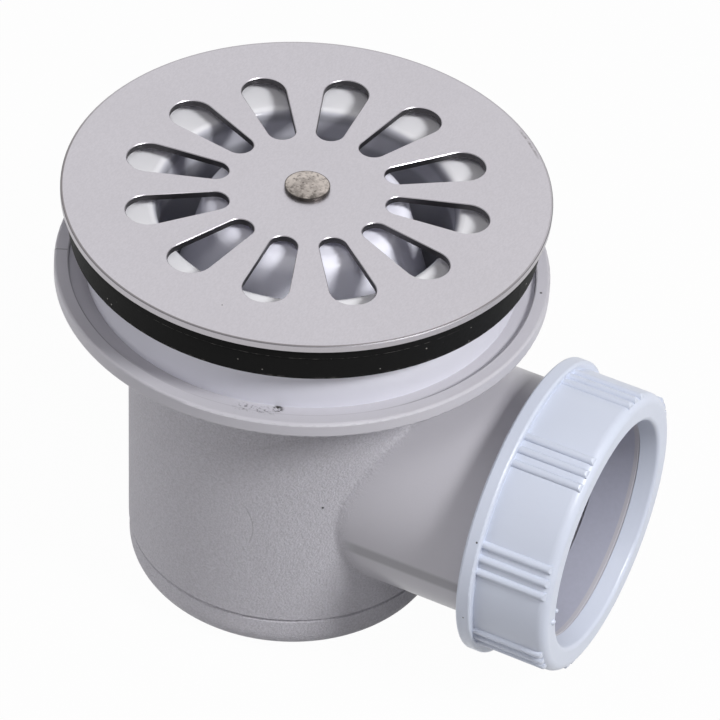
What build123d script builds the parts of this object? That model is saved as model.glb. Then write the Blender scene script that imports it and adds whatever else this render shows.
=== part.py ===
from build123d import *
import os

# Shower trap with a bell-type water seal and a compression outlet.
# Millimetres. The origin is the centre of the base underside, +Z is up, the outlet runs along +X.

# Strainer disc and its slots
trap_height = 83.5  # base underside to the top of the strainer
strainer_radius = 42.5
strainer_thickness = 1.2
strainer_edge_bevel = 0.12
slot_count = 12
slot_phase = 13.4  # degrees from the outlet to the first slot
slot_inner_reach = 16.5  # trap axis to the centre of a slot's narrow end
slot_inner_radius = 2.5
slot_outer_reach = 28.2  # trap axis to the centre of a slot's wide end
slot_outer_radius = 4.0

# Centre rivet and the washer under its tail
rivet_head_radius = 3.95
rivet_head_side = 0.6
rivet_head_dome = 0.3
rivet_shank_radius = 2.0
rivet_tail_radius = 3.0
rivet_tail_height = 1.2
rivet_clearance = 0.1
washer_radius = 5.5
washer_thickness = 0.8

# Rubber ring under the rim of the strainer
gasket_height = 7.0
gasket_overhang = 3.0  # how far the lower lip stands out from the bowl's skirt
gasket_flare = 0.5  # how much wider the top of the ring is than its lower edge
gasket_band = 2.2  # height of the plain band at the top of the ring
gasket_step = 0.3
gasket_lip = 1.5  # how far the lip hangs below the seat
gasket_fit = 0.05

# Bowl with skirt, ledge, neck and standpipe
ledge_drop = 3.0  # strainer top to the bowl's ledge
bowl_skirt_radius = 38.0
bowl_seat_depth = 1.4
bowl_wall = 1.85
bowl_lip_round = 1.7
bowl_outlet_gap = 0.5  # bowl underside above the crown of the outlet passage
neck_fit = 0.15
weir_drop = 3.3  # underside of the bell's crown to the top of the standpipe
standpipe_wall = 1.8

# Bell
bell_boss_radius = 6.0
bell_boss_height = 1.5
bell_crown_radius = 17.6
bell_wall = 1.6
bell_shoulder_round = 3.0
bell_skirt_height = 5.0
bell_bowl_gap = 3.2  # bell mouth to the wall of the bowl
bell_floor_gap = 3.5  # bell mouth to the floor of the bowl
bell_weir_gap = 1.2  # standpipe to the bell's wall, measured at the crown

# Body: clamping flange and drafted wall
tray_space = 8.1  # room for the tray between gasket and flange
flange_thickness = 3.0
flange_recess_margin = 2.9
flange_recess_depth = 0.9
flange_rim_width = 2.5
flange_edge_round = 0.5
flange_root_round = 1.5
body_top_radius = 30.4
body_foot_radius = 29.2
body_wall = 2.5
neck_shelf_drop = 1.0  # straight bore below the bowl's underside

# Base cap below the joint groove
cap_height = 7.8
cap_inset = 0.2
cap_corner_round = 4.8
cap_edge_bevel = 0.4
cap_floor = 2.4
cap_spigot_height = 3.0
cap_spigot_wall = 2.0
cap_fit = 0.1
groove_width = 0.5
groove_depth = 0.7

# Outlet spigot for a plain waste pipe
pipe_radius = 20.0
socket_clearance = 0.4
socket_depth = 28.0
pipe_stop = 1.0
tube_wall = 1.7
outlet_rise = 1.1  # underside of the tube above the joint groove
outlet_root_round = 1.0
spigot_reach = 56.6  # trap axis to the end of the spigot
thread_length = 9.6
thread_step = 0.9  # root of the thread above the tube
thread_height = 0.9
thread_clearance = 0.3
mouth_depth = 7.5
mouth_width = 1.9

# Seal and slip ring inside the nut
seal_clearance = 0.5
seal_fit = 0.1
seal_tip = 0.45
seal_flange_thickness = 1.5
seal_edge_gap = 0.8
slip_ring_thickness = 1.0
slip_ring_clearance = 0.5
slip_ring_edge_gap = 0.6
slip_ring_bevel = 0.3

# Outlet nut
nut_overrun = 1.0  # nut's rear edge behind the thread
nut_lead_in = 0.8
nut_wall = 1.8
nut_lip_thickness = 3.4
nut_lip_clearance = 0.5
nut_lip_taper = 0.8  # how much wider the lip's bore is at the front
nut_collar_rise = 1.4
nut_collar_width = 2.8
nut_collar_round = 0.5
nut_front_round = 1.7
nut_bore_round = 0.8
rib_groups = 8
ribs_in_group = 3
rib_phase = 27.5  # degrees from +Y to the middle of the first group
rib_pitch = 5.8  # degrees between the ribs of one group
rib_radius = 0.75
rib_sink = 0.1  # rib centre below the barrel's surface
rib_front_gap = 0.7  # rib ends behind the nut's front

# Levels worked out from the sizes above
strainer_underside = trap_height - strainer_thickness
gasket_low = strainer_underside - gasket_height
gasket_seat = gasket_low + gasket_lip
flange_top = gasket_low - tray_space
flange_underside = flange_top - flange_thickness
recess_floor = flange_top - flange_recess_depth
ledge_top = trap_height - ledge_drop
ledge_underside = ledge_top - bowl_wall
body_foot = cap_height + groove_width

# Outlet, worked out from the pipe that it takes
socket_radius = pipe_radius + socket_clearance
passage_radius = socket_radius - pipe_stop
tube_radius = socket_radius + tube_wall
thread_core_radius = tube_radius + thread_step
nut_bore_radius = thread_core_radius + thread_height + thread_clearance
nut_barrel_radius = nut_bore_radius + nut_wall
nut_collar_radius = nut_barrel_radius + nut_collar_rise
nut_lip_radius = pipe_radius + nut_lip_clearance
seal_bore_radius = pipe_radius + seal_clearance
outlet_height = body_foot + outlet_rise + tube_radius
thread_start = spigot_reach - thread_length
slip_ring_rear = spigot_reach + seal_flange_thickness
nut_lip_rear = slip_ring_rear + slip_ring_thickness
nut_front = nut_lip_rear + nut_lip_thickness
nut_rear = thread_start - nut_overrun
nut_collar_front = nut_rear + nut_collar_width

# Bowl and bell, worked out from the body and the outlet
neck_bore_radius = body_top_radius - body_wall
neck_radius = neck_bore_radius - neck_fit
bowl_bore_radius = neck_radius - bowl_wall
bowl_seat_radius = bowl_skirt_radius - bowl_seat_depth
bowl_underside = outlet_height + passage_radius + bowl_outlet_gap
bowl_floor = bowl_underside + bowl_wall
bell_crown = strainer_underside - bell_boss_height
bell_crown_underside = bell_crown - bell_wall
bell_mouth = bowl_floor + bell_floor_gap
bell_mouth_radius = bowl_bore_radius - bell_bowl_gap
standpipe_radius = bell_crown_radius - bell_wall - bell_weir_gap
standpipe_bore_radius = standpipe_radius - standpipe_wall
weir_top = bell_crown_underside - weir_drop
recess_radius = bowl_skirt_radius + flange_recess_margin
flange_radius = recess_radius + flange_rim_width
body_foot_bore_radius = body_foot_radius - body_wall
washer_underside = bell_crown_underside - washer_thickness
rivet_hole_radius = rivet_shank_radius + rivet_clearance

# Planes and axis of the outlet: sections across it, and a section along it
outlet_plane = Plane(origin=(0, 0, outlet_height), x_dir=(0, 1, 0), z_dir=(1, 0, 0))
outlet_section = Plane(origin=(0, 0, outlet_height), x_dir=(1, 0, 0), z_dir=(0, -1, 0))
outlet_axis = Axis((0, 0, outlet_height), (1, 0, 0))


def body_radius(height):
    """Outer radius of the drafted wall at a height above the base."""
    share = (height - body_foot) / (flange_underside - body_foot)
    return body_foot_radius + share * (body_top_radius - body_foot_radius)


# Strainer disc: flat sheet with tapered slots round the centre rivet
with BuildSketch() as slot_outline:
    with Locations((slot_inner_reach, 0)):
        Circle(slot_inner_radius)
    with Locations((slot_outer_reach, 0)):
        Circle(slot_outer_radius)
    make_hull()

with BuildPart() as strainer_disc:
    with BuildSketch(Plane.XY.offset(strainer_underside)):
        Circle(strainer_radius)
        Circle(rivet_hole_radius, mode=Mode.SUBTRACT)
        with PolarLocations(0, slot_count, start_angle=slot_phase):
            add(slot_outline.sketch, mode=Mode.SUBTRACT)
    extrude(amount=strainer_thickness)
    chamfer(faces().sort_by(Axis.Z)[-1].edges(), strainer_edge_bevel)
strainer_disc.part.label = "strainer_disc"

# Centre rivet: low domed head, shank through disc, bell and washer, and a closed tail
with BuildPart() as strainer_rivet:
    with BuildSketch(Plane.XZ):
        with BuildLine():
            head_edge = trap_height + rivet_head_side
            head_top = head_edge + rivet_head_dome
            head_middle = (rivet_head_radius / 2, head_edge + rivet_head_dome * 3 / 4)
            ThreePointArc((0, head_top), head_middle, (rivet_head_radius, head_edge))
            Polyline(
                (rivet_head_radius, head_edge),
                (rivet_head_radius, trap_height),
                (rivet_shank_radius, trap_height),
                (rivet_shank_radius, washer_underside),
                (rivet_tail_radius, washer_underside),
                (rivet_tail_radius, washer_underside - rivet_tail_height),
                (0, washer_underside - rivet_tail_height),
                (0, head_top),
            )
        make_face()
    revolve(axis=Axis.Z)
strainer_rivet.part.label = "strainer_rivet"

# Washer between the bell's crown and the rivet's tail
with BuildPart() as rivet_washer:
    with BuildSketch(Plane.XY.offset(washer_underside)):
        Circle(washer_radius)
        Circle(rivet_hole_radius, mode=Mode.SUBTRACT)
    extrude(amount=washer_thickness)
rivet_washer.part.label = "rivet_washer"

# Bell: flared cup, mouth down, with a boss that meets the strainer
with BuildPart() as bell:
    with BuildSketch(Plane.XZ):
        with BuildLine():
            skirt_top = bell_mouth + bell_skirt_height
            Polyline(
                (rivet_hole_radius, strainer_underside),
                (bell_boss_radius, strainer_underside),
                (bell_boss_radius, bell_crown),
                (bell_crown_radius, bell_crown),
                (bell_mouth_radius, skirt_top),
                (bell_mouth_radius, bell_mouth),
                (bell_mouth_radius - bell_wall, bell_mouth),
                (bell_mouth_radius - bell_wall, skirt_top),
                (bell_crown_radius - bell_wall, bell_crown_underside),
                (rivet_hole_radius, bell_crown_underside),
                close=True,
            )
        make_face()
    revolve(axis=Axis.Z)
    crown_edge = edges().filter_by_position(Axis.Z, bell_crown, bell_crown).sort_by(SortBy.RADIUS)[-1]
    fillet(crown_edge, bell_shoulder_round)
    under_edges = edges().filter_by_position(Axis.Z, bell_crown_underside, bell_crown_underside)
    fillet(under_edges.sort_by(SortBy.RADIUS)[-1], bell_shoulder_round - bell_wall)
bell.part.label = "bell"

# Rim gasket: rubber ring that sits on the bowl's seat, with a lip over the skirt
with BuildPart() as rim_gasket:
    with BuildSketch(Plane.XZ):
        with BuildLine():
            lip_radius = bowl_skirt_radius + gasket_overhang
            top_radius = lip_radius + gasket_flare
            band_foot = strainer_underside - gasket_band
            Polyline(
                (bowl_seat_radius + gasket_fit, strainer_underside),
                (top_radius, strainer_underside),
                (top_radius, band_foot),
                (top_radius - gasket_step, band_foot - gasket_step),
                (lip_radius, gasket_low),
                (bowl_skirt_radius + gasket_fit, gasket_low),
                (bowl_skirt_radius + gasket_fit, gasket_seat),
                (bowl_seat_radius + gasket_fit, gasket_seat),
                close=True,
            )
        make_face()
    revolve(axis=Axis.Z)
rim_gasket.part.label = "rim_gasket"

# Bowl: skirt and ledge above the flange, neck in the body, floor and standpipe
with BuildPart() as trap_bowl:
    with BuildSketch(Plane.XZ):
        with BuildLine():
            Polyline(
                (standpipe_bore_radius, bowl_underside),
                (standpipe_bore_radius, weir_top),
                (standpipe_radius, weir_top),
                (standpipe_radius, bowl_floor),
                (bowl_bore_radius, bowl_floor),
                (bowl_bore_radius, ledge_top),
                (bowl_seat_radius, ledge_top),
                (bowl_seat_radius, gasket_seat),
                (bowl_skirt_radius, gasket_seat),
                (bowl_skirt_radius, recess_floor),
                (bowl_seat_radius - bowl_wall, recess_floor),
                (bowl_seat_radius - bowl_wall, ledge_underside),
                (neck_radius, ledge_underside),
                (neck_radius, bowl_underside),
                close=True,
            )
        make_face()
    revolve(axis=Axis.Z)
    ledge_edges = edges().filter_by_position(Axis.Z, ledge_top, ledge_top)
    fillet(ledge_edges.sort_by(SortBy.RADIUS)[0], bowl_lip_round)
    weir_edges = edges().filter_by_position(Axis.Z, weir_top, weir_top)
    fillet(weir_edges, standpipe_wall / 3)
trap_bowl.part.label = "trap_bowl"

# Body: recessed flange, drafted wall and outlet spigot, hollowed from above and along the outlet
with BuildPart() as trap_body:
    with BuildSketch(Plane.XZ):
        with BuildLine():
            Polyline(
                (0, body_foot),
                (body_foot_radius, body_foot),
                (body_top_radius, flange_underside),
                (flange_radius, flange_underside),
                (flange_radius, flange_top),
                (recess_radius, flange_top),
                (recess_radius, recess_floor),
                (0, recess_floor),
                close=True,
            )
        make_face()
    revolve(axis=Axis.Z)
    rim_edges = edges().filter_by(GeomType.CIRCLE).group_by(SortBy.RADIUS)[-1]
    fillet(rim_edges, flange_edge_round)
    root_edges = edges().filter_by_position(Axis.Z, flange_underside, flange_underside)
    fillet(root_edges.sort_by(SortBy.RADIUS)[0], flange_root_round)
    with BuildSketch(outlet_plane):
        Circle(tube_radius)
    extrude(amount=thread_start)
    junction = edges().filter_by(lambda edge: edge.geom_type == GeomType.BSPLINE)
    fillet(junction, outlet_root_round)
    with BuildSketch(outlet_plane.offset(thread_start)):
        Circle(thread_core_radius)
    extrude(amount=thread_length)
    with BuildSketch(Plane.XZ):
        with BuildLine():
            shelf = bowl_underside - neck_shelf_drop
            Polyline(
                (0, body_foot),
                (body_foot_bore_radius, body_foot),
                (body_radius(shelf) - body_wall, shelf),
                (neck_bore_radius, shelf),
                (neck_bore_radius, recess_floor),
                (0, recess_floor),
                close=True,
            )
        make_face()
    revolve(axis=Axis.Z, mode=Mode.SUBTRACT)
    with BuildSketch(outlet_plane):
        Circle(passage_radius)
    extrude(amount=spigot_reach, mode=Mode.SUBTRACT)
    with BuildSketch(outlet_plane.offset(spigot_reach)):
        Circle(socket_radius)
    extrude(amount=-socket_depth, mode=Mode.SUBTRACT)
    with BuildSketch(outlet_section):
        with BuildLine():
            Polyline(
                (spigot_reach - mouth_depth, socket_radius),
                (spigot_reach, socket_radius + mouth_width),
                (spigot_reach, socket_radius),
                close=True,
            )
        make_face()
    revolve(axis=outlet_axis, mode=Mode.SUBTRACT)
trap_body.part.label = "trap_body"

# Base cap: rounded foot with a spigot inside the body and a groove left at the joint
with BuildPart() as base_cap:
    with BuildSketch(Plane.XZ):
        with BuildLine():
            cap_radius = body_foot_radius - cap_inset
            shoulder_radius = cap_radius - groove_depth
            spigot_radius = body_foot_bore_radius - cap_fit
            spigot_top = body_foot + cap_spigot_height
            Polyline(
                (0, 0),
                (cap_radius, 0),
                (cap_radius, cap_height - cap_edge_bevel),
                (cap_radius - cap_edge_bevel, cap_height),
                (shoulder_radius, cap_height),
                (shoulder_radius, body_foot),
                (spigot_radius, body_foot),
                (spigot_radius, spigot_top),
                (spigot_radius - cap_spigot_wall, spigot_top),
                (spigot_radius - cap_spigot_wall, cap_floor),
                (0, cap_floor),
                close=True,
            )
        make_face()
    revolve(axis=Axis.Z)
    fillet(edges().filter_by_position(Axis.Z, 0, 0), cap_corner_round)
base_cap.part.label = "base_cap"

# Outlet nut: rear collar, ribbed barrel, rounded front and a lip that the pipe passes through
with BuildPart() as outlet_nut:
    with BuildSketch(outlet_section):
        with BuildLine():
            Polyline(
                (nut_rear, nut_bore_radius + nut_lead_in),
                (nut_rear, nut_collar_radius),
                (nut_collar_front, nut_collar_radius),
                (nut_collar_front, nut_barrel_radius),
                (nut_front, nut_barrel_radius),
                (nut_front, nut_lip_radius + nut_lip_taper),
                (nut_lip_rear, nut_lip_radius),
                (nut_lip_rear, nut_bore_radius),
                (nut_rear + nut_lead_in, nut_bore_radius),
                close=True,
            )
        make_face()
    revolve(axis=outlet_axis)
    front_edges = edges().filter_by_position(Axis.X, nut_front, nut_front).sort_by(SortBy.RADIUS)
    fillet(front_edges[0], nut_bore_round)
    fillet(front_edges[-1], nut_front_round)
    collar_edges = edges().filter_by(GeomType.CIRCLE).group_by(SortBy.RADIUS)[-1]
    fillet(collar_edges, nut_collar_round)
    rib_end = nut_front - rib_front_gap
    with BuildSketch(outlet_plane.offset(nut_collar_front)):
        for rib in range(ribs_in_group):
            rib_offset = (rib - (ribs_in_group - 1) / 2) * rib_pitch
            with PolarLocations(nut_barrel_radius - rib_sink, rib_groups, rib_phase + rib_offset):
                Circle(rib_radius)
    extrude(amount=rib_end - nut_collar_front)
    with BuildSketch(outlet_section):
        with BuildLine():
            rib_rise = rib_radius - rib_sink
            rib_top = nut_barrel_radius + rib_rise
            ThreePointArc(
                (rib_end - rib_rise, rib_top),
                (rib_end - rib_rise * 0.3, rib_top - rib_rise * 0.3),
                (rib_end, nut_barrel_radius),
            )
            Polyline(
                (rib_end, nut_barrel_radius),
                (rib_end, rib_top),
                (rib_end - rib_rise, rib_top),
            )
        make_face()
    revolve(axis=outlet_axis, mode=Mode.SUBTRACT)
    with BuildSketch(outlet_plane.offset(nut_rear)):
        Circle(nut_bore_radius)
    extrude(amount=nut_lip_rear - nut_rear, mode=Mode.SUBTRACT)
outlet_nut.part.label = "outlet_nut"

# Outlet seal: cone in the mouth of the spigot and a flange on the spigot's end
with BuildPart() as outlet_seal:
    with BuildSketch(outlet_section):
        with BuildLine():
            mouth_slope = mouth_width / mouth_depth
            tip_radius = seal_bore_radius + seal_tip
            tip_reach = spigot_reach - mouth_depth + (tip_radius + seal_fit - socket_radius) / mouth_slope
            Polyline(
                (tip_reach, seal_bore_radius),
                (tip_reach, tip_radius),
                (spigot_reach, socket_radius + mouth_width - seal_fit),
                (spigot_reach, nut_bore_radius - seal_edge_gap),
                (slip_ring_rear, nut_bore_radius - seal_edge_gap),
                (slip_ring_rear, seal_bore_radius),
                close=True,
            )
        make_face()
    revolve(axis=outlet_axis)
outlet_seal.part.label = "outlet_seal"

# Slip ring: thin ring that keeps the turning nut off the seal
with BuildPart() as slip_ring:
    with BuildSketch(outlet_plane.offset(slip_ring_rear)):
        Circle(nut_bore_radius - slip_ring_edge_gap)
        Circle(pipe_radius + slip_ring_clearance, mode=Mode.SUBTRACT)
    extrude(amount=slip_ring_thickness)
    front_edges = edges().filter_by_position(Axis.X, nut_lip_rear, nut_lip_rear).sort_by(SortBy.RADIUS)
    chamfer(front_edges[0], slip_ring_bevel)
slip_ring.part.label = "slip_ring"

os.makedirs("parts", exist_ok=True)
export_step(strainer_disc.part, "parts/strainer_disc.step")
export_step(strainer_rivet.part, "parts/strainer_rivet.step")
export_step(rivet_washer.part, "parts/rivet_washer.step")
export_step(bell.part, "parts/bell.step")
export_step(rim_gasket.part, "parts/rim_gasket.step")
export_step(trap_bowl.part, "parts/trap_bowl.step")
export_step(trap_body.part, "parts/trap_body.step")
export_step(base_cap.part, "parts/base_cap.step")
export_step(outlet_nut.part, "parts/outlet_nut.step")
export_step(outlet_seal.part, "parts/outlet_seal.step")
export_step(slip_ring.part, "parts/slip_ring.step")
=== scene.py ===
"""Looks of a shower trap: finishes for its nodes, some with painted light and shade, outlet threads, moulding details
and a plain studio. Metres.
"""
import math

import bmesh
import bpy
from mathutils import Matrix, Vector


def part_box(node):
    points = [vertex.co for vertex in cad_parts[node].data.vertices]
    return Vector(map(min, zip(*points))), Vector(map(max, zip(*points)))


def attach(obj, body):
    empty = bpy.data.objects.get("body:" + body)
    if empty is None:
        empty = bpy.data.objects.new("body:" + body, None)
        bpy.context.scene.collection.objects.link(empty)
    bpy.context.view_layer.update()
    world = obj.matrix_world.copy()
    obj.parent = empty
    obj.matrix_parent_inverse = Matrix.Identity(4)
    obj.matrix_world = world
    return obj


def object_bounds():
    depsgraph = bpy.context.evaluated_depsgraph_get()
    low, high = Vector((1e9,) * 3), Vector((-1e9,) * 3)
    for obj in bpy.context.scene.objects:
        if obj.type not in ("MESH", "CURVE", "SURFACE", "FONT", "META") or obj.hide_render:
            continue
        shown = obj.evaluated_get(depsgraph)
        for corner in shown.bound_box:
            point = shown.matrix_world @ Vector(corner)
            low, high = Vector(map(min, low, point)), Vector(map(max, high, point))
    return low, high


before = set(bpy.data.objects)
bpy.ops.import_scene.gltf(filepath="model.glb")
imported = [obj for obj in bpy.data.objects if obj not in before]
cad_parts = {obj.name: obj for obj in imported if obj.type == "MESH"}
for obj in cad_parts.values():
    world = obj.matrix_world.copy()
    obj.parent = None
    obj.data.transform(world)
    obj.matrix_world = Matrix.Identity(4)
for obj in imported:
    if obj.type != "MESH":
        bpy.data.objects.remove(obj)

bl_info = {
    "name": "Shower Trap",
    "version": (1, 0, 0),
    "blender": (4, 5, 0),
    "location": "3D View > Sidebar > Shower Trap",
    "description": "Dresses the shower trap with its finishes, threads and studio",
    "category": "Object",
}

CAD_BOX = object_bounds()
BODY_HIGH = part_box("trap_body")[1]
NUT_LOW, NUT_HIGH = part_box("outlet_nut")
DISC_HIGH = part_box("strainer_disc")[1]
GASKET_LOW, GASKET_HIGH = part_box("rim_gasket")
OUTLET_HEIGHT = (NUT_LOW.z + NUT_HIGH.z) / 2
TO_MM = 1000.0

# Bounds for Signal.rise in millimetres: 0 at the first value, 1 at the second.
INSIDE_SLOTS = (36.0, 34.0)
OUTSIDE_SLOTS = (34.0, 36.0)
DISC_RIM = (40.0, 42.0)
RIVET_SHADED_EDGE = (3.70, 3.90)
LEDGE_INNER = (25.0, 25.6)
LEDGE_OUTER = (36.9, 36.4)
LEDGE_DEPTH = (3.6, 3.2)
BELL_EDGE = (24.6, 24.0)
WELL_DEPTH = (2.8, 4.2)
TUBE_SKIN = (27.0, 22.9)
TUBE_ROOT = (29.8, 32.6)
OUTLET_SIDE = (6.0, 12.0)
BORE_SKIN = (21.0, 20.6)
BORE_DEPTH = (14.0, 20.0)
RECESS_OUTER = (40.6, 41.2)

# Radii, heights and places of surface details, of painted shade and of a painted reflection, in millimetres; bearings
# in degrees from the outlet.
WELL_RADIUS = 26.0
WALL_RADIUS = 29.8
RECESS_RADIUS = 40.9
FLANGE_THICKNESS = 3.2
GASKET_STEP = 2.4
RIM_TARNISH_BEARING = 49.0
SCUFF_BEARING, SCUFF_RADIUS = -74.0, 40.0
HAIRLINE_BEARING = -153.5
REFLECTION_BAND_ANGLE = 11.5
CHIP_PLACE = (14.2, -36.0, 66.6)
BODY_DOTS = (
    (18.0, -23.7, 35.8),
    (20.5, -21.7, 50.3),
    (-3.4, -29.6, 24.5),
    (39.7, 13.6, 67.2),
    (8.6, -28.5, 17.0),
)
NUT_DOTS = ((48.0, -25.0, 42.7), (50.5, -23.6, 41.6), (47.6, -26.8, 26.4))

# The arc-shaped scratch on the wall: its centre along the wall and in height, and its radius, in millimetres.
SCRATCH_ALONG, SCRATCH_HEIGHT, SCRATCH_RADIUS = -48.1, 29.5, 8.5

# Painted light: tone of the ledge inside the bowl, lighter and more neutral than the rest of the white moulding.
LEDGE_PAINTED_LIGHT = (0.84, 0.84, 0.87)

# Stage: angles in degrees, lengths in metres.
ROOM_SIDE = (0.41, -0.91, 0.0)
ROOM_GREY = (0.62, 0.62, 0.64)
FILL_COLOUR, FILL_STRENGTH = (1.0, 0.97, 1.0), 0.24
FLOOR_GLOW = 0.975
FLOOR_HALF_SIDE, FLOOR_GAP = 4.0, 0.0002
SEEN_RAYS = ("Is Camera Ray", "Is Glossy Ray", "Is Transmission Ray")
LAMP_DISTANCE = 0.9
LAMPS = (  # name, azimuth, elevation, size, power, seen in reflections
    ("key_light", 80.0, 43.0, 0.2, 6.6, True),
    ("left_light", -55.0, 5.0, 0.6, 3.3, False),
    ("top_light", 20.0, 58.0, 0.25, 1.1, False),
    ("back_light", 205.0, 18.0, 0.5, 1.2, False),
)
CAMERA_LENS, CAMERA_SENSOR, CAMERA_FAR = 215.0, 36.0, 20.0
CAMERA_AZIMUTH, CAMERA_ELEVATION, CAMERA_ROLL = 24.44, 40.29, -4.135
CAMERA_RIGHT, CAMERA_UP, CAMERA_BACK = 0.00908, -0.0297, 0.7409

# Added pieces: place of the gate mark, depth of a thread's root below the surface, both in metres, and the
# turns over which a thread's end runs out.
NUB_Y, NUB_Z = -0.0226, 0.0290
THREAD_SUNK = 0.00012
THREAD_RUNOUT = 0.25


class TrapSizes(bpy.types.PropertyGroup):
    """Sizes of the pieces that are added to the frame."""

    thread_pitch: bpy.props.FloatProperty(
        name="Thread pitch", description="Advance of the outlet thread in one turn", default=0.002309, unit="LENGTH"
    )
    spigot_root: bpy.props.FloatProperty(
        name="Spigot root", description="Root radius of the spigot's thread", default=0.0230, unit="LENGTH"
    )
    spigot_crest: bpy.props.FloatProperty(
        name="Spigot crest", description="Crest radius of the spigot's thread", default=0.0239, unit="LENGTH"
    )
    nut_root: bpy.props.FloatProperty(
        name="Nut root", description="Radius of the nut's bore, the root of its thread", default=0.0242, unit="LENGTH"
    )
    nut_crest: bpy.props.FloatProperty(
        name="Nut crest", description="Crest radius of the nut's thread", default=0.02358, unit="LENGTH"
    )
    thread_foot: bpy.props.FloatProperty(
        name="Thread foot", description="Width of a thread at its root", default=0.00124, unit="LENGTH"
    )
    thread_land: bpy.props.FloatProperty(
        name="Thread land", description="Width of a thread at its crest", default=0.00032, unit="LENGTH"
    )
    thread_start: bpy.props.FloatProperty(
        name="Thread start", description="Trap axis to the inner end of the thread", default=0.0478, unit="LENGTH"
    )
    thread_turns: bpy.props.FloatProperty(
        name="Thread turns", description="Turns of thread on the spigot", default=3.2
    )
    nub_radius: bpy.props.FloatProperty(
        name="Gate nub", description="Radius of the torn gate mark on the nut", default=0.00062, unit="LENGTH"
    )


def colour(label, meaning, value):
    """A colour property with a name, a description and a default."""
    return bpy.props.FloatVectorProperty(
        name=label, description=meaning, subtype="COLOR", size=3, min=0.0, max=1.0, default=value
    )


class TrapColours(bpy.types.PropertyGroup):
    """Base colours of the finishes."""

    steel: colour("Steel", "Satin sheet of the strainer", (0.602, 0.580, 0.621))
    rivet: colour("Rivet", "Bright parts of the rivet head", (0.600, 0.540, 0.500))
    # Dark tone for tarnished patches and stains on the metal, also used for the painted shade along the disc's top
    # edge and round the rivet's edge.
    dark_tone: colour("Tarnish", "Dull patches on the metal", (0.120, 0.105, 0.095))
    white: colour("White plastic", "Bell and bowl", (0.730, 0.732, 0.810))
    rubber: colour("Rubber", "Rim gasket", (0.004, 0.004, 0.004))
    dust: colour("Dust", "Dust on rubber and plastic", (0.420, 0.400, 0.380))
    grey: colour("Grey plastic", "Body and base cap", (0.515, 0.505, 0.547))
    nut: colour("Nut plastic", "Outlet nut", (0.590, 0.632, 0.735))
    seal: colour("Seal", "Grey rubber of the outlet seal", (0.440, 0.450, 0.540))
    dirt: colour("Dirt", "Specks and scuffs", (0.030, 0.028, 0.027))
    floor: colour("Floor", "Studio floor", (0.420, 0.420, 0.420))


class Signal:
    """An output socket in a finish. Arithmetic on it adds Math nodes to the finish."""

    def __init__(self, finish, socket):
        self.finish = finish
        self.socket = socket

    def math(self, operation, *values):
        return self.finish.node("ShaderNodeMath", {"operation": operation}, dict(enumerate(values)))

    def __add__(self, other):
        return self.math("ADD", self, other)

    def __radd__(self, other):
        return self.math("ADD", other, self)

    def __sub__(self, other):
        return self.math("SUBTRACT", self, other)

    def __rsub__(self, other):
        return self.math("SUBTRACT", other, self)

    def __mul__(self, other):
        return self.math("MULTIPLY", self, other)

    def __rmul__(self, other):
        return self.math("MULTIPLY", other, self)

    def __pow__(self, other):
        return self.math("POWER", self, other)

    def __abs__(self):
        return self.math("ABSOLUTE", self)

    def at_least(self, other):
        return self.math("MAXIMUM", self, other)

    def angle(self, across):
        """Angle in degrees of the point that lies across, self."""
        return self.math("ARCTAN2", self, across) * math.degrees(1.0)

    def rise(self, start, end):
        """0 at start and 1 at end, smooth between them. start may be above end."""
        return self.finish.node(
            "ShaderNodeMapRange",
            {"interpolation_type": "SMOOTHSTEP"},
            {"Value": self, "From Min": start, "From Max": end},
        )

    def near(self, value, reach):
        """1 where the signal equals value, falling to 0 at reach from it."""
        return abs(self - value).rise(reach, reach * 0.4)


class Shading:
    """The node tree of a material or of the world."""

    def __init__(self, owner):
        self.owner = owner
        owner.use_nodes = True
        self.tree = owner.node_tree
        self.tree.nodes.clear()

    def node(self, kind, settings=None, sockets=None, output=0):
        """Adds a node: its type, its settings, the values or links of its sockets, and the output to hand back."""
        made = self.tree.nodes.new(kind)
        for key, value in (settings or {}).items():
            setattr(made, key, value)
        for key, value in (sockets or {}).items():
            if isinstance(value, Signal):
                self.tree.links.new(value.socket, made.inputs[key])
            else:
                made.inputs[key].default_value = value
        return Signal(self, made.outputs[output]) if made.outputs else None

    def mix(self, share, first, second):
        """Colour mix: first where share is 0, second where it is 1."""
        sockets = {0: share, 6: rgba(first), 7: rgba(second)}
        return self.node("ShaderNodeMix", {"data_type": "RGBA"}, sockets, output=2)

    def light_path(self, *kinds):
        """1 for rays of any of the named kinds."""
        share = self.node("ShaderNodeLightPath", output=kinds[0])
        for kind in kinds[1:]:
            share = share.at_least(self.node("ShaderNodeLightPath", output=kind))
        return share


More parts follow.
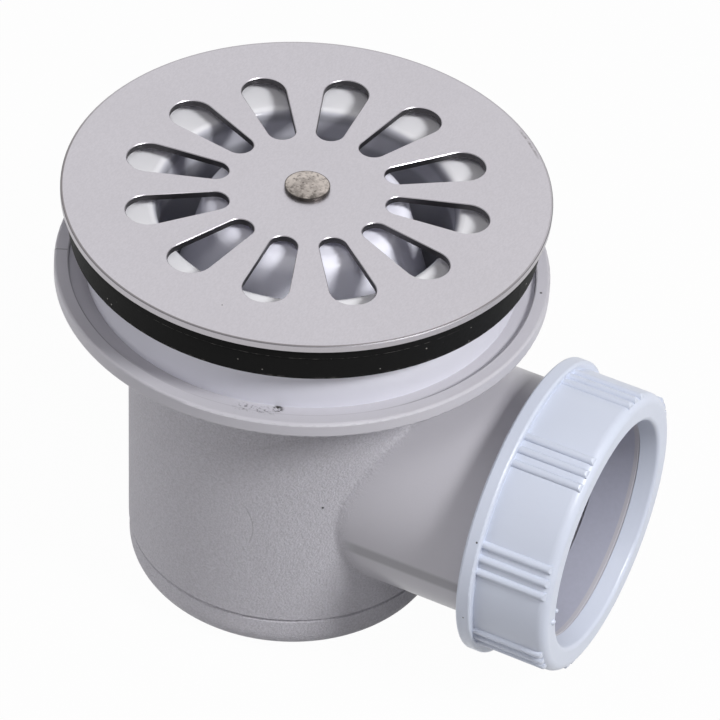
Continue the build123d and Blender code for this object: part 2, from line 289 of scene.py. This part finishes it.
class Finish(Shading):
    """A material, with its place in the frame in millimetres."""

    def __init__(self, name):
        super().__init__(bpy.data.materials.new(name))
        place = self.node("ShaderNodeTexCoord", output="Object")
        self.place = self.scaled(place, (TO_MM, TO_MM, TO_MM))
        self.x, self.y, self.z = (
            self.node("ShaderNodeSeparateXYZ", sockets={0: self.place}, output=axis) for axis in "XYZ"
        )

    def scaled(self, vector, factors):
        return self.node("ShaderNodeVectorMath", {"operation": "MULTIPLY"}, {0: vector, 1: factors})

    def radius(self):
        """Distance from the trap's upright axis, in millimetres."""
        return (self.x * self.x + self.y * self.y) ** 0.5

    def outlet_radius(self):
        """Distance from the outlet's axis, in millimetres."""
        level = self.z - OUTLET_HEIGHT * TO_MM
        return (self.y * self.y + level * level) ** 0.5

    def bearing(self):
        """Angle about the trap's axis in degrees, from the outlet."""
        return self.y.angle(self.x)

    def noise(self, scale, detail=2.0, roughness=0.5, stretch=(1, 1, 1)):
        """Noise from 0 to 1; scale is in features per millimetre."""
        place = self.scaled(self.place, stretch)
        return self.node(
            "ShaderNodeTexNoise", None, {"Vector": place, "Scale": scale, "Detail": detail, "Roughness": roughness}
        )

    def specks(self, scale, size):
        """Scattered round specks: 1 inside a speck; size is its share of a cell."""
        cell = self.node("ShaderNodeTexVoronoi", None, {"Vector": self.place, "Scale": scale}, output="Distance")
        return cell.rise(size, size * 0.5)

    def spot(self, point, reach):
        """One round mark at a point in millimetres."""
        gap = self.node("ShaderNodeVectorMath", {"operation": "DISTANCE"}, {0: self.place, 1: point}, output="Value")
        return gap.rise(reach, reach * 0.4)

    def bump(self, height, depth):
        """Normal of a relief whose height of 1 stands for depth in metres."""
        return self.node("ShaderNodeBump", None, {"Strength": 1.0, "Distance": depth, "Height": height})

    def surface(self, **sockets):
        """Closes the tree with one surface shader; names are its sockets with _ for a space."""
        named = {key.replace("_", " "): value for key, value in sockets.items()}
        named["Base Color"] = rgba(named["Base Color"])
        shader = self.node("ShaderNodeBsdfPrincipled", None, named)
        self.node("ShaderNodeOutputMaterial", None, {"Surface": shader})
        return self.owner


def rgba(value):
    """A colour with alpha for a socket; a signal passes through."""
    return value if isinstance(value, Signal) else (*value, 1.0)


def tint(value, factor):
    """A colour made lighter or darker."""
    return tuple(min(1.0, part * factor) for part in value)


def satin_steel(colours):
    """Satin stainless sheet: rolled grain, clouds, specks and a tarnished rim, with painted shade on the slot walls,
    the slot bevels and along the disc's top edge, and painted highlights on the slot bevels.
    """
    finish = Finish("satin_steel")
    steel = colours.steel
    grain = finish.noise(1.0, 4.0, 0.65, (3.6, 1.6, 3.6))
    cloud = finish.noise(0.06, 2.0)
    base = finish.mix(cloud, tint(steel, 0.965), tint(steel, 1.03))
    base = finish.mix(grain.rise(0.34, 0.66) * 0.5, base, tint(steel, 0.86))
    radius = finish.radius()
    facing = finish.node("ShaderNodeNewGeometry", output="Normal")
    upright = finish.node("ShaderNodeSeparateXYZ", None, {0: facing}, output="Z")
    wall = abs(upright).rise(0.50, 0.25)
    slot_wall = wall * radius.rise(*INSIDE_SLOTS)
    bevel = upright.near(0.71, 0.22)
    edge = DISC_HIGH.x * TO_MM
    rim_wall = wall * radius.rise(*DISC_RIM)
    # Painted shade: a dark line just inside the disc's top edge, stronger at the front.
    front = 0.35 + finish.y.rise(10.0, -15.0) * 0.65
    painted_edge_line = radius.near(edge - 0.24, 0.22) * upright.rise(0.90, 0.98) * front
    # Painted shade: the slot walls and the rounded outer top edge are drawn nearly black, standing in for the dark
    # they reflect.
    shaded_edges = slot_wall.at_least(bevel * radius.rise(*OUTSIDE_SLOTS) * 0.8)
    base = finish.mix(shaded_edges * 0.95, base, tint(steel, 0.10))
    # Painted shade: the slot bevels are drawn darker, dimming their reflections.
    slot_bevel = bevel * radius.rise(*INSIDE_SLOTS)
    base = finish.mix(slot_bevel * 0.8, base, tint(steel, 0.50))
    # Painted highlight: bright glints along the slot bevels.
    painted_glint = slot_bevel * finish.noise(0.09, 2.0).rise(0.46, 0.64)
    base = finish.mix(painted_glint * 0.5, base, tint(steel, 1.2))
    # The line along the top edge is painted shade; the rim's side face gets a light tarnished tint.
    base = finish.mix((painted_edge_line * 0.7).at_least(rim_wall * 0.3), base, colours.dark_tone)
    rim = radius.near(edge - 0.75, 0.30)
    # A tarnished patch on the rim, at a set bearing.
    dark_tone = rim * finish.bearing().near(RIM_TARNISH_BEARING, 8.0) * finish.noise(0.7, 4.0).rise(0.30, 0.60)
    base = finish.mix(dark_tone * 0.55, base, colours.dark_tone)
    base = finish.mix(finish.specks(0.055, 0.0085), base, colours.dirt)
    rough = 0.30 + grain * 0.06 + cloud * 0.05 + dark_tone * 0.2 + shaded_edges * 0.15
    return finish.surface(
        Base_Color=base, Metallic=1.0, Roughness=rough, Normal=finish.bump(grain + cloud * 2.0, 0.000004)
    )


def rivet_metal(colours):
    """Pressed rivet with a mottled, tarnished head, darker towards the front, and with painted shade round the head's
    edge.
    """
    finish = Finish("rivet_metal")
    blotch = finish.noise(0.5, 6.0, 0.65).rise(0.40, 0.68)
    stain = finish.noise(1.5, 4.0, 0.6).rise(0.50, 0.68)
    base = finish.mix(blotch * 0.75, colours.rivet, tint(colours.rivet, 0.42))
    base = finish.mix(stain * 0.75, base, colours.dark_tone)
    # Darker towards the front, in blotches.
    front_darkening = finish.y.rise(0.4, -2.6) * (0.30 + finish.noise(0.8, 4.0, 0.6).rise(0.44, 0.60) * 0.6)
    base = finish.mix(front_darkening, base, colours.dark_tone)
    # Painted shade: the head's edge is drawn near black.
    edge = finish.radius().rise(*RIVET_SHADED_EDGE)
    base = finish.mix(edge * 0.9, base, tint(colours.dark_tone, 0.25))
    rough = 0.36 + blotch * 0.2 + stain * 0.15
    return finish.surface(
        Base_Color=base, Metallic=0.9, Roughness=rough, Normal=finish.bump(blotch + stain * 0.6, 0.00003)
    )


def white_plastic(colours):
    """Glossy white moulding with an orange-peel skin; the ledge and the bell are drawn lighter as painted light, and
    the deep ring between them dark as painted shade.
    """
    finish = Finish("white_plastic")
    white = colours.white
    peel = finish.noise(0.35, 2.0)
    fine = finish.noise(3.0, 3.0, 0.6)
    base = finish.mix(finish.noise(0.08, 2.0), tint(white, 0.97), white)
    base = finish.mix(finish.specks(0.11, 0.010) * 0.7, base, colours.dust)
    radius, depth = finish.radius(), DISC_HIGH.z * TO_MM - finish.z
    # Painted light: the ledge is drawn in its own lighter, more neutral tone than the rest of the same moulding.
    ledge = radius.rise(*LEDGE_INNER) * radius.rise(*LEDGE_OUTER) * depth.rise(*LEDGE_DEPTH)
    base = finish.mix(ledge, base, LEDGE_PAINTED_LIGHT)
    # Painted light: the bell, and whatever lies inside its radius, is drawn brighter.
    base = finish.mix(radius.rise(*BELL_EDGE), base, tint(white, 1.22))
    # Painted shade: the bowl's inner wall below the ledge is drawn dark, less so about 7 mm down.
    well_shade = radius.near(WELL_RADIUS, 1.2) * depth.rise(*WELL_DEPTH) * (1.0 - depth.near(7.0, 2.6) * 0.45)
    base = finish.mix(well_shade * 0.70, base, tint(white, 0.25))
    return finish.surface(
        Base_Color=base, Roughness=0.16 + fine * 0.08, Normal=finish.bump(peel + fine * 0.12, 0.00002)
    )


def black_rubber(colours):
    """Moulded rubber with dust specks and a broken dust line on its step."""
    finish = Finish("black_rubber")
    skin = finish.noise(1.6, 4.0, 0.6)
    step = GASKET_HIGH.z * TO_MM - GASKET_STEP
    line = finish.z.near(step, 0.22) * finish.noise(0.8, 3.0).rise(0.45, 0.62) * 0.3
    lower = finish.z.near(GASKET_LOW.z * TO_MM + 0.15, 0.3) * finish.noise(1.2, 3.0).rise(0.5, 0.65) * 0.10
    specks = finish.specks(0.55, 0.10) * finish.noise(0.3, 2.0).rise(0.46, 0.60)
    dust = specks.at_least(line).at_least(lower)
    base = finish.mix(skin, colours.rubber, tint(colours.rubber, 1.8))
    base = finish.mix(dust, base, colours.dust)
    return finish.surface(
        Base_Color=base,
        Roughness=0.52 + skin * 0.16,
        Specular_IOR_Level=0.07,
        Normal=finish.bump(skin, 0.00003),
    )


def grey_plastic(colours):
    """Body moulding: sand-textured wall, smoother flange and tube, with scuffs and hairlines; a painted reflection
    band along the tube, a painted shadow line in the flange's recess, painted shade on the flange and painted light
    in the bore.
    """
    finish = Finish("grey_plastic")
    grey = colours.grey
    radius, bearing = finish.radius(), finish.bearing()
    flange_foot = BODY_HIGH.z * TO_MM - FLANGE_THICKNESS
    flange = finish.z.rise(flange_foot - 0.6, flange_foot)
    tube = finish.outlet_radius().rise(*TUBE_SKIN) * radius.rise(*TUBE_ROOT) * finish.x.rise(*OUTLET_SIDE)
    smooth = flange.at_least(tube)
    sand = finish.noise(2.6, 3.0, 0.62)
    coarse = finish.noise(0.9, 2.0)
    cloud = finish.noise(0.05, 2.0)
    base = finish.mix(cloud, tint(grey, 0.95), tint(grey, 1.05))
    grain = finish.mix(sand.rise(0.30, 0.70), tint(grey, 0.85), tint(grey, 1.09))
    base = finish.mix((1.0 - smooth) * 0.9, base, grain)
    # Painted shade: the flange is drawn a little darker, to match how it looks lit.
    base = finish.mix(flange * 0.8, base, tint(grey, 0.97))
    base = finish.mix(tube * 0.8, base, tint(grey, 0.92))
    scrape = finish.noise(1.9, 5.0, 0.7).rise(0.51, 0.60)
    scuff = radius.near(SCUFF_RADIUS, 1.9) * bearing.near(SCUFF_BEARING, 7.0) * scrape
    hairline = bearing.near(HAIRLINE_BEARING, 0.22) * radius.rise(*RECESS_OUTER) * flange
    along = bearing * (math.radians(1.0) * WALL_RADIUS)
    arc = ((along - SCRATCH_ALONG) ** 2.0 + (finish.z - SCRATCH_HEIGHT) ** 2.0) ** 0.5
    scratch = arc.near(SCRATCH_RADIUS, 0.16) * along.rise(-42.4, -41.4) * finish.z.near(30.9, 5.6)
    dots = finish.spot(CHIP_PLACE, 1.3) * finish.noise(2.6, 3.0).rise(0.44, 0.50)
    for point in BODY_DOTS:
        dots = dots.at_least(finish.spot(point, 0.32))
    dots = dots.at_least(finish.specks(0.12, 0.010) * 0.6)
    # Painted shadow: a dark line in the flange's recess, weaker towards the front.
    away_from_front = 0.25 + abs(bearing + 75.0).rise(25.0, 50.0) * 0.75
    recess_shadow_line = radius.near(RECESS_RADIUS, 0.26) * flange * away_from_front
    # Painted reflection: a dark band along the tube, at a set angle below its axis.
    below = OUTLET_HEIGHT * TO_MM - finish.z
    reflection_band = below.angle(0.0 - finish.y).near(REFLECTION_BAND_ANGLE, 5.0) * tube
    # Scuffs, the hairline and the scratch are on the moulding; the recess line is painted shadow and the band along
    # the tube a painted reflection, all drawn in one dark grey.
    marks_and_shade = (scuff * 0.85).at_least(hairline * 0.7).at_least(scratch * 0.22).at_least(recess_shadow_line * 0.7)
    base = finish.mix(marks_and_shade.at_least(reflection_band * 0.5), base, tint(grey, 0.30))
    base = finish.mix(dots, base, colours.dirt)
    # Painted light: the inside of the socket is drawn a touch lighter.
    bore = finish.outlet_radius().rise(*BORE_SKIN) * finish.x.rise(*BORE_DEPTH)
    base = finish.mix(bore, base, tint(grey, 1.01))
    rough = 0.52 - tube * 0.24 - flange * 0.12 + cloud * 0.05
    relief = (sand - 0.5) * (1.0 - smooth * 0.93) + (coarse - 0.5) * 0.25 * (1.0 - smooth)
    relief = relief - hairline * 0.4 - scratch * 0.3
    return finish.surface(
        Base_Color=base, Roughness=rough, Specular_IOR_Level=0.25, Normal=finish.bump(relief, 0.00026)
    )


def nut_plastic(colours):
    """Pale semi-gloss moulding with faint flow clouds and a few dark specks."""
    finish = Finish("nut_plastic")
    pale = colours.nut
    flow = finish.noise(0.10, 3.0, 0.55, (0.5, 1.0, 1.0))
    skin = finish.noise(0.8, 3.0)
    base = finish.mix(flow, tint(pale, 0.97), tint(pale, 1.03))
    dots = finish.specks(0.10, 0.009) * 0.7
    for point in NUT_DOTS:
        dots = dots.at_least(finish.spot(point, 0.26))
    base = finish.mix(dots, base, colours.dirt)
    return finish.surface(
        Base_Color=base, Roughness=0.30 + skin * 0.08, Normal=finish.bump(skin + flow * 2.0, 0.00002)
    )


def grey_seal(colours):
    """Soft grey seal with a matt moulded skin."""
    finish = Finish("grey_seal")
    skin = finish.noise(1.2, 3.0)
    base = finish.mix(skin, tint(colours.seal, 0.93), tint(colours.seal, 1.05))
    return finish.surface(Base_Color=base, Roughness=0.30 + skin * 0.08, Normal=finish.bump(skin, 0.00001))


def dress(material, *nodes):
    """Gives CAD nodes a finish."""
    for name in nodes:
        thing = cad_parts[name]
        thing.data.materials.clear()
        thing.data.materials.append(material)


def piece(name, mesh, material, body):
    """Links a new piece, gives it a finish and lets it ride on a body."""
    thing = bpy.data.objects.new(name, mesh)
    bpy.context.scene.collection.objects.link(thing)
    mesh.materials.append(material)
    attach(thing, body)
    return thing


def close_rings(shape, rings):
    """Joins rings of points, one after the other, with four-sided faces and closes both ends."""
    sides = len(rings[0])
    for first, second in zip(rings[:-1], rings[1:]):
        for side in range(sides):
            after = (side + 1) % sides
            shape.faces.new((first[side], first[after], second[after], second[side]))
    shape.faces.new(rings[0])
    shape.faces.new(rings[-1])


def as_mesh(shape, name):
    """Turns a shape into a mesh and frees the shape."""
    mesh = bpy.data.meshes.new(name)
    shape.to_mesh(mesh)
    shape.free()
    return mesh


def helix_ridge(name, start, root, crest, sizes, steps_per_turn=120):
    """Mesh of a screw thread about the outlet axis. Its crest runs out to the root at both ends."""
    shape = bmesh.new()
    turns, foot, land = sizes.thread_turns, sizes.thread_foot / 2, sizes.thread_land / 2
    sunk = root - math.copysign(THREAD_SUNK, crest - root)
    rings = []
    for step in range(round(turns * steps_per_turn) + 1):
        turn = step / steps_per_turn
        runout = min(1.0, turn / THREAD_RUNOUT, (turns - turn) / THREAD_RUNOUT)
        top = root + (crest - root) * max(0.04, runout)
        section = ((-foot, sunk), (-foot, root), (-land, top), (land, top), (foot, root), (foot, sunk))
        angle = 2.0 * math.pi * turn
        middle = start + sizes.thread_pitch * turn
        ring = []
        for along, reach in section:
            spot = (middle + along, reach * math.cos(angle), OUTLET_HEIGHT + reach * math.sin(angle))
            ring.append(shape.verts.new(spot))
        rings.append(ring)
    close_rings(shape, rings)
    bmesh.ops.recalc_face_normals(shape, faces=shape.faces)
    return as_mesh(shape, name)


def gate_nub(name, size):
    """Mesh of a torn moulding gate: two small lumps with a ragged top, standing on the nut's front face."""
    shape = bmesh.new()
    around = 14
    for (aside, above), scale in (((0.0, 0.0), 1.0), ((0.0013, 0.0016), 0.6)):
        rings = []
        for level, width in ((-0.6, 1.25), (0.0, 1.0), (0.45, 0.78), (0.75, 0.45)):
            ring = []
            for step in range(around):
                angle = 2.0 * math.pi * step / around
                ragged = 1.0 + 0.16 * math.sin(3 * angle + level * 4) + 0.10 * math.cos(5 * angle - level)
                reach = size * scale * width * ragged
                lift = size * scale * (level + 0.12 * max(0.0, level) * math.sin(2 * angle + 1.0))
                spot = (lift, aside + reach * math.cos(angle), above + reach * math.sin(angle))
                ring.append(shape.verts.new(spot))
            rings.append(ring)
        close_rings(shape, rings)
    bmesh.ops.recalc_face_normals(shape, faces=shape.faces)
    for face in shape.faces:
        face.smooth = True
    return as_mesh(shape, name)


class SHOWERTRAP_OT_strainer(bpy.types.Operator):
    """Finish the strainer disc, its rivet and the washer"""

    bl_idname = "shower_trap.strainer"
    bl_label = "Strainer"

    def execute(self, context):
        colours = context.scene.shower_trap_colours
        dress(satin_steel(colours), "strainer_disc")
        dress(rivet_metal(colours), "strainer_rivet", "rivet_washer")
        return {"FINISHED"}


class SHOWERTRAP_OT_bell_and_bowl(bpy.types.Operator):
    """Finish the white bell and bowl"""

    bl_idname = "shower_trap.bell_and_bowl"
    bl_label = "Bell and Bowl"

    def execute(self, context):
        dress(white_plastic(context.scene.shower_trap_colours), "bell", "trap_bowl")
        return {"FINISHED"}


class SHOWERTRAP_OT_rim_gasket(bpy.types.Operator):
    """Finish the rubber ring under the strainer's rim"""

    bl_idname = "shower_trap.rim_gasket"
    bl_label = "Rim Gasket"

    def execute(self, context):
        dress(black_rubber(context.scene.shower_trap_colours), "rim_gasket")
        return {"FINISHED"}


class SHOWERTRAP_OT_body(bpy.types.Operator):
    """Finish the body, base cap and slip ring and add the thread on the spigot"""

    bl_idname = "shower_trap.body"
    bl_label = "Body"

    def execute(self, context):
        sizes = context.scene.shower_trap_sizes
        grey = grey_plastic(context.scene.shower_trap_colours)
        dress(grey, "trap_body", "base_cap", "slip_ring")
        ridge = helix_ridge("spigot_thread", sizes.thread_start, sizes.spigot_root, sizes.spigot_crest, sizes)
        piece("spigot_thread", ridge, grey, "trap")
        return {"FINISHED"}


class SHOWERTRAP_OT_outlet_nut(bpy.types.Operator):
    """Finish the outlet nut and add its inner thread and gate mark"""

    bl_idname = "shower_trap.outlet_nut"
    bl_label = "Outlet Nut"

    def execute(self, context):
        sizes = context.scene.shower_trap_sizes
        pale = nut_plastic(context.scene.shower_trap_colours)
        dress(pale, "outlet_nut")
        between = sizes.thread_start + sizes.thread_pitch * 0.5
        ridge = helix_ridge("nut_thread", between, sizes.nut_root, sizes.nut_crest, sizes)
        piece("nut_thread", ridge, pale, "nut")
        nub = piece("nut_gate_mark", gate_nub("nut_gate_mark", sizes.nub_radius), pale, "nut")
        nub.location = (NUT_HIGH.x, NUB_Y, NUB_Z)
        return {"FINISHED"}


class SHOWERTRAP_OT_outlet_seal(bpy.types.Operator):
    """Finish the outlet seal"""

    bl_idname = "shower_trap.outlet_seal"
    bl_label = "Outlet Seal"

    def execute(self, context):
        dress(grey_seal(context.scene.shower_trap_colours), "outlet_seal")
        return {"FINISHED"}


def studio_floor(colours):
    """Pale floor: white to the camera and in reflections, with a soft shadow left in it."""
    finish = Finish("studio_floor")
    seen = finish.light_path(*SEEN_RAYS)
    paper = finish.node("ShaderNodeBsdfDiffuse", None, {"Color": rgba(colours.floor)})
    glow = finish.node("ShaderNodeEmission", None, {"Color": (1, 1, 1, 1), "Strength": 1.0})
    shader = finish.node("ShaderNodeMixShader", None, {0: seen * FLOOR_GLOW, 1: paper, 2: glow})
    finish.node("ShaderNodeOutputMaterial", None, {"Surface": shader})
    return finish.owner


def outward(azimuth, elevation):
    """Direction from the trap for an azimuth from the front and an elevation, in degrees."""
    turn, lift = math.radians(azimuth), math.radians(elevation)
    return Vector((math.sin(turn) * math.cos(lift), -math.cos(turn) * math.cos(lift), math.sin(lift)))


class SHOWERTRAP_OT_stage(bpy.types.Operator):
    """Set the floor, the lights, the world and the camera"""

    bl_idname = "shower_trap.stage"
    bl_label = "Stage"

    def execute(self, context):
        scene = context.scene
        scene.view_settings.view_transform = "Standard"
        self.floor(scene)
        self.world(scene)
        for lamp in LAMPS:
            self.lamp(scene, *lamp)
        self.camera(scene)
        return {"FINISHED"}

    def floor(self, scene):
        shape = bmesh.new()
        bmesh.ops.create_grid(shape, x_segments=4, y_segments=4, size=FLOOR_HALF_SIDE)
        mesh = as_mesh(shape, "studio_floor")
        mesh.materials.append(studio_floor(scene.shower_trap_colours))
        ground = bpy.data.objects.new("studio_floor", mesh)
        ground.location.z = CAD_BOX[0].z - FLOOR_GAP
        scene.collection.objects.link(ground)

    def world(self, scene):
        scene.world = bpy.data.worlds.new("studio_world")
        sky = Shading(scene.world)
        direction = sky.node("ShaderNodeTexCoord", output="Generated")
        toward_room = sky.node(
            "ShaderNodeVectorMath", {"operation": "DOT_PRODUCT"}, {0: direction, 1: ROOM_SIDE}, output="Value"
        )
        height = sky.node("ShaderNodeSeparateXYZ", None, {0: direction}, output="Z")
        room = toward_room.rise(0.25, 0.70) * height.rise(0.90, 0.70) * sky.light_path("Is Glossy Ray")
        shown = sky.mix(room, (1.0, 1.0, 1.0), ROOM_GREY)
        white = sky.node("ShaderNodeBackground", None, {"Color": shown, "Strength": 1.0})
        fill = sky.node("ShaderNodeBackground", None, {"Color": rgba(FILL_COLOUR), "Strength": FILL_STRENGTH})
        seen = sky.light_path(*SEEN_RAYS)
        blend = sky.node("ShaderNodeMixShader", None, {0: seen, 1: fill, 2: white})
        sky.node("ShaderNodeOutputWorld", None, {"Surface": blend})

    def lamp(self, scene, name, azimuth, elevation, size, power, mirrored):
        light = bpy.data.lights.new(name, "AREA")
        light.shape = "SQUARE"
        light.size = size
        light.energy = power
        lamp = bpy.data.objects.new(name, light)
        lamp.visible_glossy = mirrored
        back = outward(azimuth, elevation)
        centre = (CAD_BOX[0] + CAD_BOX[1]) / 2
        lamp.location = centre + back * LAMP_DISTANCE
        lamp.rotation_mode = "QUATERNION"
        lamp.rotation_quaternion = (-back).to_track_quat("-Z", "Y")
        scene.collection.objects.link(lamp)

    def camera(self, scene):
        data = bpy.data.cameras.new("studio_camera")
        data.sensor_width = CAMERA_SENSOR
        data.lens = CAMERA_LENS
        data.clip_end = CAMERA_FAR
        turn, roll = math.radians(CAMERA_AZIMUTH), math.radians(CAMERA_ROLL)
        back = outward(CAMERA_AZIMUTH, CAMERA_ELEVATION)
        level = Vector((math.cos(turn), math.sin(turn), 0.0))
        upright = back.cross(level)
        right = math.cos(roll) * level - math.sin(roll) * upright
        up = math.sin(roll) * level + math.cos(roll) * upright
        rotation = Matrix((right, up, back)).transposed()
        strainer_top = Vector((0.0, 0.0, DISC_HIGH.z))
        camera = bpy.data.objects.new("studio_camera", data)
        camera.matrix_world = rotation.to_4x4()
        camera.location = strainer_top + CAMERA_RIGHT * right + CAMERA_UP * up + CAMERA_BACK * back
        scene.collection.objects.link(camera)
        scene.camera = camera


class SHOWERTRAP_PT_sidebar(bpy.types.Panel):
    """Lists the steps that dress the trap, with its sizes and colours"""

    bl_idname = "SHOWERTRAP_PT_sidebar"
    bl_label = "Shower Trap"
    bl_space_type = "VIEW_3D"
    bl_region_type = "UI"
    bl_category = "Shower Trap"

    def draw(self, context):
        for step in STEPS:
            self.layout.operator(step.bl_idname)
        for group in (context.scene.shower_trap_sizes, context.scene.shower_trap_colours):
            column = self.layout.column()
            for name in group.__annotations__:
                column.prop(group, name)


STEPS = (
    SHOWERTRAP_OT_strainer,
    SHOWERTRAP_OT_bell_and_bowl,
    SHOWERTRAP_OT_rim_gasket,
    SHOWERTRAP_OT_body,
    SHOWERTRAP_OT_outlet_nut,
    SHOWERTRAP_OT_outlet_seal,
    SHOWERTRAP_OT_stage,
)
CLASSES = (TrapSizes, TrapColours, *STEPS, SHOWERTRAP_PT_sidebar)


def register():
    for kind in CLASSES:
        bpy.utils.register_class(kind)
    bpy.types.Scene.shower_trap_sizes = bpy.props.PointerProperty(type=TrapSizes)
    bpy.types.Scene.shower_trap_colours = bpy.props.PointerProperty(type=TrapColours)


def unregister():
    del bpy.types.Scene.shower_trap_colours
    del bpy.types.Scene.shower_trap_sizes
    for kind in reversed(CLASSES):
        bpy.utils.unregister_class(kind)


def main():
    register()
    bpy.ops.shower_trap.strainer()
    bpy.ops.shower_trap.bell_and_bowl()
    bpy.ops.shower_trap.rim_gasket()
    bpy.ops.shower_trap.body()
    bpy.ops.shower_trap.outlet_nut()
    bpy.ops.shower_trap.outlet_seal()
    bpy.ops.shower_trap.stage()


if __name__ == "__main__":
    main()
